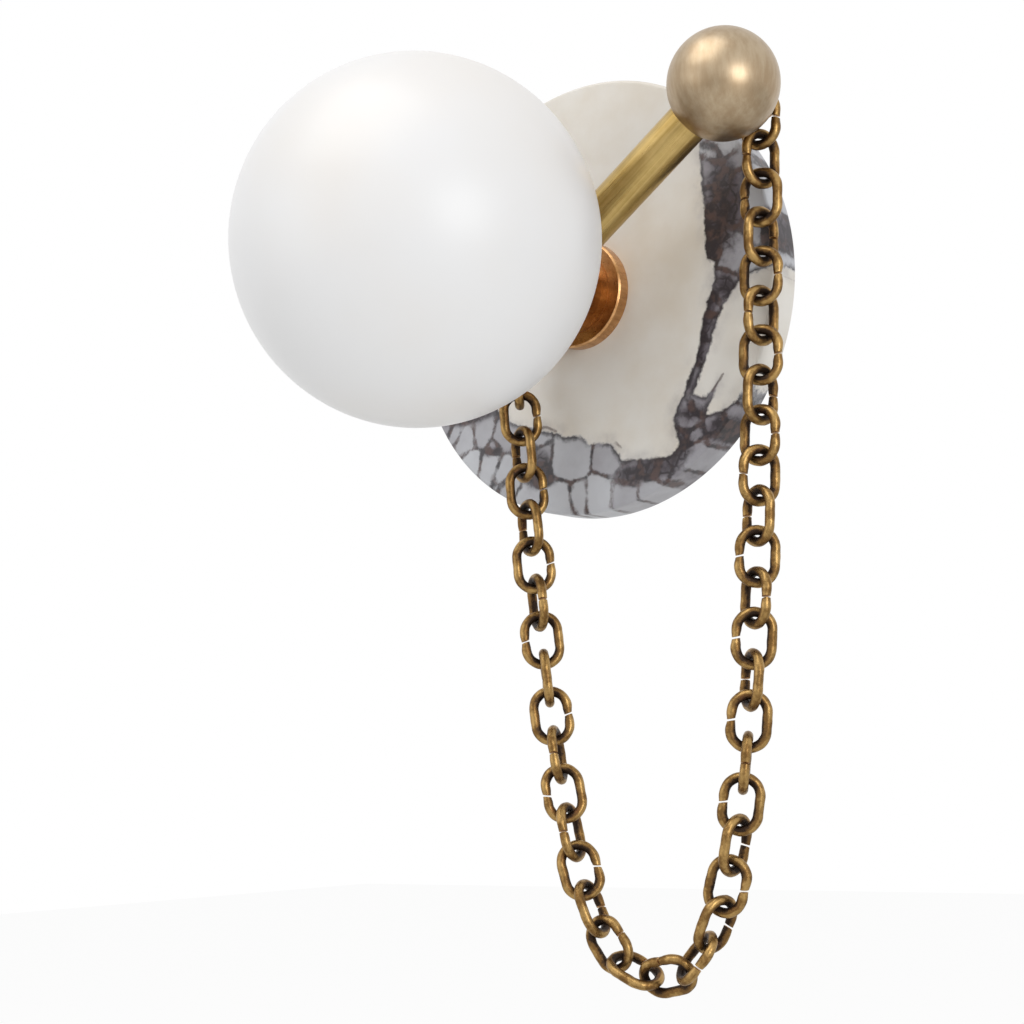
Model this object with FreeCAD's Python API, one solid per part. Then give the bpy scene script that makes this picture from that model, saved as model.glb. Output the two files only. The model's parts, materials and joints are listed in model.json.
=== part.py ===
"""Wall light: opal globe on a marble disc, with a brass arm, a ball and a hanging chain.

Millimetres. The origin is the centre of the marble disc's back face, on the wall plane.
+X is right, +Z is up, and the room is towards -Y, so an offset from the wall is -Y.
"""
import FreeCAD, Part
import math
import os

V = FreeCAD.Vector
WALL_AXIS = V(0, -1, 0)

# Marble disc and what holds it to the wall
DISC_DIAMETER = 200.0
DISC_THICKNESS = 17.0
DISC_EDGE_ROUND = 1.5
RECESS_DIAMETER = 112.0
RECESS_DEPTH = 8.5
BRACKET_LENGTH = 100.0
BRACKET_WIDTH = 22.0
BRACKET_THICKNESS = 2.0
SLOT_LENGTH = 12.0
SLOT_WIDTH = 4.6
SLOT_TO_BRACKET_END = 2.5
NIPPLE_DIAMETER = 10.0
NIPPLE_BORE = 7.0
NUT_ACROSS_FLATS = 14.0
NUT_THICKNESS = 4.0

# Boss and hub in front of the disc
BOSS_DIAMETER = 49.2
BOSS_HEIGHT = 6.5
BOSS_BEVEL = 0.8
BOSS_STEP_DIAMETER = 37.0
BOSS_STEP_DEPTH = 0.8
HUB_DIAMETER = 28.0
HUB_CHAMFER = 0.8

# Arm, its ball and their joint
ARM_DIAMETER = 18.6
ARM_WALL = 1.5
ARM_ANGLE = 33.3
ARM_REACH = 118.1
ARM_TAIL = 38.0
END_CAP_THICKNESS = 2.5
END_CAP_SPIGOT = 14.0
BALL_DIAMETER = 47.0
BALL_SOCKET_TO_CENTRE = 15.0
BALL_STUD_DIAMETER = 8.0
BALL_STUD_LENGTH = 10.0
BALL_PLUG_LENGTH = 14.0
GRUB_DIAMETER = 4.0

# Globe, fitter and lamp
GLOBE_DIAMETER = 151.0
GLOBE_WALL = 3.0
GLOBE_OPENING = 60.0
FITTER_DIAMETER = 66.0
FITTER_FLANGE = 2.5
COLLAR_DIAMETER = 54.0
COLLAR_WALL = 1.5
COLLAR_LENGTH = 8.5
SPRING_COUNT = 3
SPRING_WIDTH = 8.0
SPRING_STRIP = 0.5
SPRING_TIP = 1.5
HOLDER_DIAMETER = 24.0
HOLDER_NOSE_DIAMETER = 19.0
HOLDER_BASE_LENGTH = 10.0
HOLDER_NOSE_LENGTH = 14.0
NIPPLE_GRIP = 5.0
PIN_SPACING = 9.0
PIN_DIAMETER = 1.5
PIN_LENGTH = 11.0
BULB_BASE_DIAMETER = 14.0
BULB_BASE_LENGTH = 8.0
BULB_DIAMETER = 16.0
BULB_GLASS_LENGTH = 38.0
PIN_ROOT = 1.0
WIRE_DIAMETER = 2.4

# Chain of open oval links, and the studs that it hangs on
LINK_COUNT = 41
LINK_LENGTH = 26.2
LINK_WIDTH = 19.0
LINK_WIRE = 4.4
LINK_PLAY = 0.6
LINK_BEND_SLACK = 0.9
LINK_CUT = 1.0
LINK_CUT_SLANT = 14.0
CHAIN_OFFSET = 26.0
CHAIN_BEHIND_BALL = 0.3
STUD_RIGHT_OF_BALL = 3.3
STUD_ABOVE_BALL_BOTTOM = 20.1
TAIL_STUD_BEHIND_HUB = 29.5
STUD_DIAMETER = 4.0
STUD_HEAD_DIAMETER = 9.2
STUD_HEAD_HEIGHT = 2.0
STUD_THREAD_LENGTH = 9.0
STUD_SLOT = 1.0

# How far each link is rolled about the chain's line, in degrees from the chain's own plane:
# (link number, roll), straight between the keys, one row of keys for odd links and one for even
ODD_ROLLS = [(1, 5), (3, -4), (7, -11), (9, 6), (11, 25), (13, 29), (15, 43), (17, 65), (19, 97),
             (21, 110), (23, 152), (25, 175), (27, 212), (39, 212), (41, 175)]
EVEN_ROLLS = [(2, -63), (4, -70), (8, -70), (10, -53), (12, -30), (18, -26), (20, -10), (22, 50),
              (24, 70), (26, 90), (28, 95), (30, 110), (32, 123), (34, 140), (36, 150), (38, 150),
              (40, 120)]
# Which side of each link its cut is on, from the ball's end of the chain to the arm's
CUT_SIDES = "+--++-+++---+---+--+-++-+-++-++--++-+-+++"

# Clearances
FIT = 0.05
RUNNING_GAP = 0.3

# Worked out from the sizes above; offsets are measured out from the wall
DISC_RADIUS = DISC_DIAMETER / 2
SLOT_SPACING = BRACKET_LENGTH - 2 * SLOT_TO_BRACKET_END - SLOT_LENGTH
ARM_RADIUS = ARM_DIAMETER / 2
ARM_BORE = ARM_RADIUS - ARM_WALL
BALL_RADIUS = BALL_DIAMETER / 2
ARM_OFFSET = CHAIN_OFFSET + CHAIN_BEHIND_BALL + BALL_RADIUS
STUD_BELOW_BALL = BALL_RADIUS - STUD_ABOVE_BALL_BOTTOM
NIPPLE_RADIUS = NIPPLE_DIAMETER / 2
BOSS_FRONT = DISC_THICKNESS + BOSS_HEIGHT
HUB_BACK = BOSS_FRONT - BOSS_STEP_DEPTH
HUB_FRONT = ARM_OFFSET + ARM_RADIUS + RUNNING_GAP
FITTER_FRONT = HUB_FRONT + FITTER_FLANGE
GLOBE_RADIUS = GLOBE_DIAMETER / 2
GLOBE_SEAT = FITTER_FRONT + RUNNING_GAP
GLOBE_CENTRE = GLOBE_SEAT + math.sqrt(GLOBE_RADIUS ** 2 - (GLOBE_OPENING / 2) ** 2)
NUT_FRONT = FITTER_FRONT + NUT_THICKNESS
NIPPLE_FRONT = NUT_FRONT + NIPPLE_GRIP
HOLDER_STEP = NUT_FRONT + HOLDER_BASE_LENGTH
HOLDER_FRONT = HOLDER_STEP + HOLDER_NOSE_LENGTH
BULB_BACK = HOLDER_FRONT + RUNNING_GAP
ARM_LINE = V(math.cos(math.radians(ARM_ANGLE)), 0, math.sin(math.radians(ARM_ANGLE)))
ARM_SIDE = V(ARM_LINE.z, 0, -ARM_LINE.x)
TUBE_END = ARM_REACH - BALL_SOCKET_TO_CENTRE - FIT
LINK_PITCH = LINK_LENGTH - 2 * LINK_WIRE - LINK_PLAY
CROWN_REACH = (LINK_WIRE + LINK_PLAY) / 2
BALL_FLAT = CHAIN_OFFSET + LINK_WIRE / 2 + RUNNING_GAP
ARM_BACK = ARM_OFFSET - ARM_RADIUS
TAIL_CHAIN_OFFSET = ARM_BACK - LINK_WIRE / 2 - RUNNING_GAP


def place(x, offset, z):
    """A point at x and z, and an offset out from the wall."""
    return V(x, -offset, z)


def on_arm(station):
    """The point of the arm's centre line at a station, counted from the hub's axis."""
    return place(0, ARM_OFFSET, 0) + ARM_LINE * station


def rod(diameter, start, end, x=0.0, z=0.0):
    """A cylinder that runs out from the wall, between two offsets."""
    return Part.makeCylinder(diameter / 2, end - start, place(x, start, z), WALL_AXIS)


def bar(diameter, start, end):
    """A cylinder along the arm's centre line, between two stations."""
    return Part.makeCylinder(diameter / 2, end - start, on_arm(start), ARM_LINE)


def turned(profile):
    """A turned piece: a closed outline of (radius, offset) points, spun about the wall axis."""
    points = [place(radius, offset, 0) for radius, offset in profile]
    face = Part.Face(Part.makePolygon(points + points[:1]))
    return face.revolve(V(0, 0, 0), WALL_AXIS, 360)


def marble_backplate():
    bore = NIPPLE_RADIUS + RUNNING_GAP
    disc = rod(DISC_DIAMETER, 0, DISC_THICKNESS)
    front = [edge for edge in disc.Edges if abs(edge.CenterOfMass.y + DISC_THICKNESS) < FIT]
    disc = disc.makeFillet(DISC_EDGE_ROUND, front)
    disc = disc.cut(rod(RECESS_DIAMETER, 0, RECESS_DEPTH))
    return disc.cut(rod(2 * bore, 0, DISC_THICKNESS))


def wall_bracket():
    corner = place(-BRACKET_LENGTH / 2, BRACKET_THICKNESS, -BRACKET_WIDTH / 2)
    plate = Part.makeBox(BRACKET_LENGTH, BRACKET_THICKNESS, BRACKET_WIDTH, corner)
    upright = [edge for edge in plate.Edges if abs(edge.tangentAt(edge.FirstParameter).y) > 0.5]
    plate = plate.makeFillet(BRACKET_WIDTH / 5, upright)
    plate = plate.cut(rod(NIPPLE_DIAMETER + 2 * FIT, 0, BRACKET_THICKNESS))
    straight = SLOT_LENGTH - SLOT_WIDTH
    for side in (-1, 1):
        middle = side * SLOT_SPACING / 2
        slot = Part.makeBox(straight, BRACKET_THICKNESS, SLOT_WIDTH,
                            place(middle - straight / 2, BRACKET_THICKNESS, -SLOT_WIDTH / 2))
        for end in (-1, 1):
            slot = slot.fuse(rod(SLOT_WIDTH, 0, BRACKET_THICKNESS, middle + end * straight / 2))
        plate = plate.cut(slot)
    return plate


def centre_nipple():
    tube = rod(NIPPLE_DIAMETER, RUNNING_GAP, NIPPLE_FRONT)
    return tube.cut(rod(NIPPLE_BORE, 0, NIPPLE_FRONT))


def nipple_nuts():
    """Two alike: one locks the nipple to the bracket, one clamps the fitter."""
    corner = NUT_ACROSS_FLATS / math.sqrt(3)
    nuts = []
    for back in (BRACKET_THICKNESS, FITTER_FRONT):
        turns = [math.radians(60 * k) for k in range(6)]
        points = [place(corner * math.cos(a), back, corner * math.sin(a)) for a in turns]
        hexagon = Part.Face(Part.makePolygon(points + points[:1]))
        nut = hexagon.extrude(WALL_AXIS * NUT_THICKNESS)
        nuts.append(nut.cut(rod(NIPPLE_DIAMETER + 2 * FIT, back, back + NUT_THICKNESS)))
    return Part.makeCompound(nuts)


def boss():
    bore = NIPPLE_RADIUS + FIT
    outer = BOSS_DIAMETER / 2
    step = BOSS_STEP_DIAMETER / 2
    return turned([(bore, DISC_THICKNESS), (outer, DISC_THICKNESS),
                   (outer, BOSS_FRONT - BOSS_BEVEL), (outer - BOSS_BEVEL, BOSS_FRONT),
                   (step, BOSS_FRONT), (step - BOSS_STEP_DEPTH, HUB_BACK), (bore, HUB_BACK)])


def hub():
    bore = NIPPLE_RADIUS + FIT
    outer = HUB_DIAMETER / 2
    body = turned([(bore, HUB_BACK), (outer, HUB_BACK), (outer, HUB_FRONT - HUB_CHAMFER),
                   (outer - HUB_CHAMFER, HUB_FRONT), (bore, HUB_FRONT)])
    body = body.cut(bar(ARM_DIAMETER + 2 * FIT, -HUB_DIAMETER, HUB_DIAMETER))
    return body.cut(Part.makeCylinder(GRUB_DIAMETER / 2 + FIT, HUB_DIAMETER, on_arm(0), ARM_SIDE))


def arm_grub_screw():
    start = ARM_RADIUS + FIT
    length = HUB_DIAMETER / 2 - start - RUNNING_GAP
    screw = Part.makeCylinder(GRUB_DIAMETER / 2, length, on_arm(0) + ARM_SIDE * start, ARM_SIDE)
    socket_top = on_arm(0) + ARM_SIDE * (start + length / 2)
    return screw.cut(Part.makeCylinder(GRUB_DIAMETER / 4, length, socket_top, ARM_SIDE))


def tail_stud_place():
    """Where the chain's stud stands on the back of the arm's tail, as (x, z)."""
    point = on_arm(-TAIL_STUD_BEHIND_HUB)
    return point.x, point.z


def arm_tube():
    tube = bar(ARM_DIAMETER, -ARM_TAIL, TUBE_END)
    tube = tube.cut(bar(2 * ARM_BORE, -ARM_TAIL, TUBE_END))
    tube = tube.cut(rod(NIPPLE_DIAMETER + 2 * RUNNING_GAP, HUB_BACK, HUB_FRONT))
    return tube.cut(rod(STUD_DIAMETER + 2 * FIT, TAIL_CHAIN_OFFSET, ARM_OFFSET, *tail_stud_place()))


def arm_end_cap():
    """The cap on the arm's tail; the chain's stud screws into its spigot."""
    cap = bar(ARM_DIAMETER, -ARM_TAIL - END_CAP_THICKNESS, -ARM_TAIL)
    cap = cap.fuse(bar(2 * (ARM_BORE - FIT), -ARM_TAIL, -ARM_TAIL + END_CAP_SPIGOT))
    hole_end = ARM_BACK + STUD_THREAD_LENGTH + RUNNING_GAP
    return cap.cut(rod(STUD_DIAMETER + 2 * FIT, TAIL_CHAIN_OFFSET, hole_end, *tail_stud_place()))


def ball_centre():
    return on_arm(ARM_REACH)


def ball_stud_place():
    """Where the chain's stud stands on the flat at the back of the ball, as (x, z)."""
    centre = ball_centre()
    return centre.x + STUD_RIGHT_OF_BALL, centre.z - STUD_BELOW_BALL


def arm_ball():
    ball = Part.makeSphere(BALL_RADIUS, ball_centre())
    socket = ARM_REACH - BALL_SOCKET_TO_CENTRE
    ball = ball.cut(bar(ARM_DIAMETER + 2 * FIT, ARM_REACH - BALL_DIAMETER, socket))
    thread_end = socket + BALL_STUD_LENGTH + RUNNING_GAP
    ball = ball.cut(bar(BALL_STUD_DIAMETER + 2 * FIT, socket, thread_end))
    x, z = ball_stud_place()
    behind = Part.makeBox(2 * BALL_DIAMETER, BALL_FLAT, 2 * BALL_DIAMETER,
                          place(x - BALL_DIAMETER, BALL_FLAT, z - BALL_DIAMETER))
    ball = ball.cut(behind)
    hole_end = BALL_FLAT + STUD_THREAD_LENGTH + RUNNING_GAP
    return ball.cut(rod(STUD_DIAMETER + 2 * FIT, BALL_FLAT, hole_end, x, z))


def ball_joint_stud():
    """The plug in the arm's end, with the stud that the ball screws on to."""
    plug = bar(2 * (ARM_BORE - FIT), TUBE_END - BALL_PLUG_LENGTH, TUBE_END)
    return plug.fuse(bar(BALL_STUD_DIAMETER, TUBE_END, TUBE_END + BALL_STUD_LENGTH))


def shoulder_stud(seat, x, z):
    """A slotted stud that stands on a seat at an offset, with room for a link under its head."""
    head_front = seat - LINK_WIRE - 2 * RUNNING_GAP
    stud = rod(STUD_DIAMETER, head_front, seat + STUD_THREAD_LENGTH, x, z)
    stud = stud.fuse(rod(STUD_HEAD_DIAMETER, head_front - STUD_HEAD_HEIGHT, head_front, x, z))
    corner = place(x - STUD_HEAD_DIAMETER / 2, head_front - STUD_HEAD_HEIGHT / 2, z - STUD_SLOT / 2)
    return stud.cut(Part.makeBox(STUD_HEAD_DIAMETER, STUD_HEAD_HEIGHT, STUD_SLOT, corner))


def chain_studs():
    """Two alike: one at the back of the ball for the first link, one on the arm's tail for the last."""
    return Part.makeCompound([shoulder_stud(BALL_FLAT, *ball_stud_place()),
                              shoulder_stud(ARM_BACK, *tail_stud_place())])


def globe_fitter():
    bore = NIPPLE_RADIUS + FIT
    collar = COLLAR_DIAMETER / 2
    collar_front = FITTER_FRONT + COLLAR_LENGTH
    return turned([(bore, HUB_FRONT), (FITTER_DIAMETER / 2, HUB_FRONT),
                   (FITTER_DIAMETER / 2, FITTER_FRONT), (collar, FITTER_FRONT),
                   (collar, collar_front), (collar - COLLAR_WALL, collar_front),
                   (collar - COLLAR_WALL, FITTER_FRONT), (bore, FITTER_FRONT)])


def fitter_springs():
    """Leaf springs round the collar, which bow out and grip the globe's mouth."""
    foot = COLLAR_DIAMETER / 2 + FIT
    bow = GLOBE_OPENING / 2 - RUNNING_GAP - SPRING_STRIP
    seat = FITTER_FRONT + RUNNING_GAP
    front = FITTER_FRONT + COLLAR_LENGTH
    crest = (seat + front) / 2
    inner = [(foot, seat), (foot, seat + SPRING_STRIP), (bow, crest), (foot, front - SPRING_TIP), (foot, front)]
    outline = inner + [(radius + SPRING_STRIP, offset) for radius, offset in reversed(inner)]
    points = [place(radius, offset, -SPRING_WIDTH / 2) for radius, offset in outline]
    leaf = Part.Face(Part.makePolygon(points + points[:1])).extrude(V(0, 0, SPRING_WIDTH))
    leaves = []
    for k in range(SPRING_COUNT):
        turned_leaf = leaf.copy()
        turned_leaf.rotate(V(0, 0, 0), WALL_AXIS, 360 * k / SPRING_COUNT)
        leaves.append(turned_leaf.cut(rod(COLLAR_DIAMETER + 2 * FIT, FITTER_FRONT, front)))
    return Part.makeCompound(leaves)


def globe():
    centre = place(0, GLOBE_CENTRE, 0)
    shell = Part.makeSphere(GLOBE_RADIUS, centre)
    shell = shell.cut(Part.makeSphere(GLOBE_RADIUS - GLOBE_WALL, centre))
    return shell.cut(rod(GLOBE_OPENING, 0, GLOBE_CENTRE))


def pin_places():
    return (-PIN_SPACING / 2, PIN_SPACING / 2)


def lamp_holder():
    base = HOLDER_DIAMETER / 2
    nose = HOLDER_NOSE_DIAMETER / 2
    bore = NIPPLE_RADIUS + FIT
    wire_room = NIPPLE_BORE / 2
    grip_end = NIPPLE_FRONT + FIT
    body = turned([(bore, NUT_FRONT), (base, NUT_FRONT), (base, HOLDER_STEP), (nose, HOLDER_STEP),
                   (nose, HOLDER_FRONT), (0, HOLDER_FRONT), (0, HOLDER_STEP), (wire_room, HOLDER_STEP),
                   (wire_room, grip_end), (bore, grip_end)])
    for x in pin_places():
        hole = rod(PIN_DIAMETER + 2 * RUNNING_GAP, HOLDER_FRONT - PIN_LENGTH, HOLDER_FRONT, x)
        body = body.cut(hole)
    return body


def bulb():
    """A push-in capsule lamp: two pins, a base and a domed tube."""
    glass_back = BULB_BACK + BULB_BASE_LENGTH
    dome = glass_back + BULB_GLASS_LENGTH - BULB_DIAMETER / 2
    body = rod(BULB_BASE_DIAMETER, BULB_BACK, glass_back)
    body = body.fuse(rod(BULB_DIAMETER, glass_back, dome))
    body = body.fuse(Part.makeSphere(BULB_DIAMETER / 2, place(0, dome, 0)))
    for x in pin_places():
        body = body.fuse(rod(PIN_DIAMETER, BULB_BACK - PIN_LENGTH + RUNNING_GAP, BULB_BACK + PIN_ROOT, x))
    return body


def lead_wires():
    """Live and neutral, side by side through the nipple and into the lamp holder."""
    wires = []
    for side in (-1, 1):
        x = side * (WIRE_DIAMETER / 2 + RUNNING_GAP)
        wires.append(rod(WIRE_DIAMETER, RUNNING_GAP, HOLDER_STEP - RUNNING_GAP, x))
    return Part.makeCompound(wires)


def between(keys, number):
    """The value at a number, on straight lines between (number, value) keys."""
    for (low, first), (high, last) in zip(keys, keys[1:]):
        if number <= high:
            return first + (last - first) * (number - low) / (high - low)
    return keys[-1][1]


def bisect(value_at, target, low, high):
    """Where a rising function takes the target value."""
    for _ in range(60):
        middle = (low + high) / 2
        if value_at(middle) < target:
            low = middle
        else:
            high = middle
    return (low + high) / 2


def link_steps(lowest, pull):
    """Each link's (level, upward) step, for the lowest link's number and a pull in link weights.

    The bend at the bottom is spread over three links, which bind on their neighbours, and where
    the chain bends the links slide a little closer, round each other's crowns.
    """
    loose = [math.atan((number + 0.5 - lowest) / pull) for number in range(-1, LINK_COUNT + 1)]
    slopes = [sum(near) / 3 for near in zip(loose, loose[1:], loose[2:])]
    turns = [0] + [after - before for before, after in zip(slopes, slopes[1:])] + [0]
    steps = []
    for slope, before, after in zip(slopes, turns, turns[1:]):
        pitch = LINK_PITCH - LINK_BEND_SLACK * (before + after) / 2
        steps.append((pitch * math.cos(slope), pitch * math.sin(slope)))
    return steps


def hanging_joints(span, rise):
    """Where the links meet when the chain hangs in its own upright plane.

    The joints are (distance, height) pairs from the first one, and span and rise are the last one's.
    """
    def lowest_for(pull):
        return -bisect(lambda x: sum(up for _, up in link_steps(-x, pull)), rise,
                       -2.0 * LINK_COUNT, LINK_COUNT)

    def span_for(pull):
        return sum(level for level, _ in link_steps(lowest_for(pull), pull))

    pull = bisect(span_for, span, 0.001, LINK_COUNT)
    joints = [(0.0, 0.0)]
    for level, up in link_steps(lowest_for(pull), pull):
        distance, height = joints[-1]
        joints.append((distance + level, height + up))
    return joints


def chain_ends():
    """The chain's two end joints, over the ball's stud and over the tail's, as points."""
    above_stud = (LINK_WIRE + STUD_DIAMETER) / 2 + RUNNING_GAP - CROWN_REACH
    ends = []
    for (x, z), offset in ((ball_stud_place(), CHAIN_OFFSET), (tail_stud_place(), TAIL_CHAIN_OFFSET)):
        ends.append(place(x, offset, z + above_stud))
    return ends


def chain_plane():
    """The chain's level direction, from the ball to the tail, and its plane's normal to the room."""
    start, end = chain_ends()
    level = V(end.x - start.x, end.y - start.y, 0).normalize()
    return level, V(-level.y, level.x, 0)


def chain_joints():
    """Where the chain's links meet, from the ball's stud to the arm's tail, as points."""
    start, end = chain_ends()
    level = chain_plane()[0]
    flat = hanging_joints((end - start).dot(level), end.z - start.z)
    return [start + level * distance + V(0, 0, height) for distance, height in flat]


def open_link():
    """One link about the origin: long axis Z, in the XZ plane, cut across its +X side."""
    side = (LINK_WIDTH - LINK_WIRE) / 2
    top = (LINK_LENGTH - LINK_WIDTH) / 2
    start = LINK_CUT / 4
    path = Part.Wire([
        Part.LineSegment(V(side, 0, start), V(side, 0, top)).toShape(),
        Part.Arc(V(side, 0, top), V(0, 0, top + side), V(-side, 0, top)).toShape(),
        Part.LineSegment(V(-side, 0, top), V(-side, 0, -top)).toShape(),
        Part.Arc(V(-side, 0, -top), V(0, 0, -top - side), V(side, 0, -top)).toShape(),
        Part.LineSegment(V(side, 0, -top), V(side, 0, -start)).toShape()])
    section = Part.Wire(Part.makeCircle(LINK_WIRE / 2, V(side, 0, start), V(0, 0, 1)))
    wire = path.makePipeShell([section], True, False)
    blade = Part.makeBox(2 * LINK_WIRE, 2 * LINK_WIRE, LINK_CUT,
                         V(side - LINK_WIRE, -LINK_WIRE, -LINK_CUT / 2))
    blade.rotate(V(side, 0, 0), V(0, 1, 0), LINK_CUT_SLANT)
    return wire.cut(blade)


def roll_of(number):
    return math.radians(between(ODD_ROLLS if number % 2 else EVEN_ROLLS, number))


def chain_links():
    """Every link, laid between its two joints and rolled about the chain's line."""
    pattern = open_link()
    joints = chain_joints()
    normal = chain_plane()[1]
    links = {}
    for number in range(1, LINK_COUNT + 1):
        above, below = joints[number - 1], joints[number]
        along = (below - above).normalize()
        outward = normal.cross(along)
        across = outward * math.cos(roll_of(number)) + normal * math.sin(roll_of(number))
        if CUT_SIDES[number - 1] == "-":
            across = across * -1
        turn = FreeCAD.Rotation(across, along.cross(across), along, "ZXY")
        link = pattern.copy()
        link.Placement = FreeCAD.Placement((above + below) / 2, turn)
        links["link_%02d" % number] = link
    return links


def swing_line():
    """Two points of the line that the chain swings about: the feet of the first and last links."""
    joints = chain_joints()
    first = (joints[1] - joints[0]).normalize()
    last = (joints[-2] - joints[-1]).normalize()
    return joints[1] + first * CROWN_REACH, joints[-2] + last * CROWN_REACH


NODES = {
    "marble_backplate": marble_backplate, "wall_bracket": wall_bracket,
    "centre_nipple": centre_nipple, "nipple_nuts": nipple_nuts, "boss": boss, "hub": hub,
    "arm_grub_screw": arm_grub_screw, "arm_tube": arm_tube, "arm_end_cap": arm_end_cap,
    "arm_ball": arm_ball, "ball_joint_stud": ball_joint_stud,
    "chain_studs": chain_studs, "globe_fitter": globe_fitter, "fitter_springs": fitter_springs,
    "globe": globe, "lamp_holder": lamp_holder, "bulb": bulb, "lead_wires": lead_wires}


def build():
    shapes = {name: make() for name, make in NODES.items()}
    shapes.update(chain_links())
    os.makedirs("parts", exist_ok=True)
    for name, shape in shapes.items():
        shape.exportStep("parts/%s.step" % name)
        if not shape.isValid():
            print("not valid:", name)
    first, last = swing_line()
    print("nodes", len(shapes), "swing line", first, last, "globe centre", GLOBE_CENTRE)
    print("ball centre", ball_centre(), "lowest link", min(s.BoundBox.ZMin for s in shapes.values()))
    return shapes


if __name__ == "__main__":
    build()
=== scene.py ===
# %% [markdown]
# # A wall light with a hanging chain
# The lamp is a marble disc on the wall, an opal glass globe in front of it, a brass arm that slants
# up behind the globe to a satin ball, and a long chain that hangs from the ball to the arm's tail.
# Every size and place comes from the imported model, which is loaded first and never moved. This
# script adds what a step file can't hold: the stone's veins, the brushed and worn metal, the milky
# glass, and smoother, livelier surfaces for the pieces that show.

# %% Load the frame
import json
import math

import bmesh
import bpy
import numpy as np
from mathutils import Matrix, Vector

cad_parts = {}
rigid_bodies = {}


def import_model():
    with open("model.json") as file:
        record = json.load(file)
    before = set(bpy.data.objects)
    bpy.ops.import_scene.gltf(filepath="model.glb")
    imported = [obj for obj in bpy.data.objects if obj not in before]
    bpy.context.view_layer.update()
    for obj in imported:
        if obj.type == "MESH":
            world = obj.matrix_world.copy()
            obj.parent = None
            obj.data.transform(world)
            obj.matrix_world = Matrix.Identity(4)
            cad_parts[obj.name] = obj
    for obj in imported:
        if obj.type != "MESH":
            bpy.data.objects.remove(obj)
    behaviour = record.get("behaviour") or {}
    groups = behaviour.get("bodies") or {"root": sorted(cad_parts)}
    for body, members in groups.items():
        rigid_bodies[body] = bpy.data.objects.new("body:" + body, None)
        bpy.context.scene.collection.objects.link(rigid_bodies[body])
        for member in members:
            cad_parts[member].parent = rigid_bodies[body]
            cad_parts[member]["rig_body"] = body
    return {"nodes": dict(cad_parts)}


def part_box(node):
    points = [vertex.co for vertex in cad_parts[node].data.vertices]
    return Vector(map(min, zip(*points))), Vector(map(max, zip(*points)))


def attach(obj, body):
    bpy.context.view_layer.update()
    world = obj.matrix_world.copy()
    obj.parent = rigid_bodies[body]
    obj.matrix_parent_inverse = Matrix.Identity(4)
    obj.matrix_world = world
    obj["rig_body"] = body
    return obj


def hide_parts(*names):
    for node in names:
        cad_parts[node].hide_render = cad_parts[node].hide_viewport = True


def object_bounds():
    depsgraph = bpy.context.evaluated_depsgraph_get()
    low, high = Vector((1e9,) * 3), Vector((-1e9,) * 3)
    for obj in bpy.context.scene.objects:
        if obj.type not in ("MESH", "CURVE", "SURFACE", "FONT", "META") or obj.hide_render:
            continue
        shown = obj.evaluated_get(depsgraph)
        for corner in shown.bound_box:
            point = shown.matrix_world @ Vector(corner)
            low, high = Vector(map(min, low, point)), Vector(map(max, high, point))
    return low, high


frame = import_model()
cad_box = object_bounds()
MM = 0.001
print("nodes", len(frame["nodes"]), "box", [tuple(round(v, 4) for v in corner) for corner in cad_box])

# %% [markdown]
# ## The camera
# The photograph looks at the lamp from its right and from a little below the globe. A camera is
# easiest to read as a heading, a tilt and a roll, so the turn is built from those three angles. It
# could also be aimed with a Track To constraint, but a constraint can't roll the horizon by the
# degree and a half that the picture has.

# %% Place the camera
CAMERA_PLACE = Vector((0.4702, -0.6629, -0.2203))
CAMERA_HEADING = math.radians(38.594)
CAMERA_TILT = math.radians(8.690)
CAMERA_ROLL = math.radians(-1.557)
LENS_MM = 63.46
SENSOR_MM = 36.0

level_right = Vector((math.cos(CAMERA_HEADING), math.sin(CAMERA_HEADING), 0))
look = Vector((-math.sin(CAMERA_HEADING) * math.cos(CAMERA_TILT),
               math.cos(CAMERA_HEADING) * math.cos(CAMERA_TILT), math.sin(CAMERA_TILT)))
level_up = level_right.cross(look)
view_right = level_right * math.cos(CAMERA_ROLL) + level_up * math.sin(CAMERA_ROLL)
view_up = level_up * math.cos(CAMERA_ROLL) - level_right * math.sin(CAMERA_ROLL)

camera_data = bpy.data.cameras.new("camera")
camera_data.lens = LENS_MM
camera_data.sensor_width = SENSOR_MM
camera = bpy.data.objects.new("camera", camera_data)
bpy.context.scene.collection.objects.link(camera)
camera_turn = Matrix((view_right, view_up, -look)).transposed().to_4x4()
camera.matrix_world = Matrix.Translation(CAMERA_PLACE) @ camera_turn
bpy.context.scene.camera = camera
bpy.context.scene.view_settings.view_transform = "Standard"
print("camera looks along", [round(v, 3) for v in look])

# %% [markdown]
# ## Shader maths as Python expressions
# Node trees are hard to read when every sum is three lines. A small class wraps a socket, so that
# `1 - mask * 0.5` adds its own Math nodes. Colours are mixed with Mix nodes, because a Math node
# would turn them grey.

# %% A socket that can be added and multiplied
class Signal:
    """A number that changes over a surface: one output socket, with arithmetic."""

    def __init__(self, finish, socket):
        self.finish = finish
        self.socket = socket

    def maths(self, operation, other):
        return self.finish.node("ShaderNodeMath", {"operation": operation}, {0: self, 1: other})

    def __add__(self, other):
        return self.maths("ADD", other)

    def __mul__(self, other):
        return self.maths("MULTIPLY", other)

    def __sub__(self, other):
        return self.maths("SUBTRACT", other)

    def __rsub__(self, other):
        return self * -1 + other

    __radd__ = __add__
    __rmul__ = __mul__

    def at_least(self, other):
        return self.maths("MAXIMUM", other)

    def step(self, start, end):
        """0 before start, 1 after end and a smooth rise between."""
        settings = {"interpolation_type": "SMOOTHSTEP"}
        return self.finish.node("ShaderNodeMapRange", settings, {0: self, 1: start, 2: end})


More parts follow.
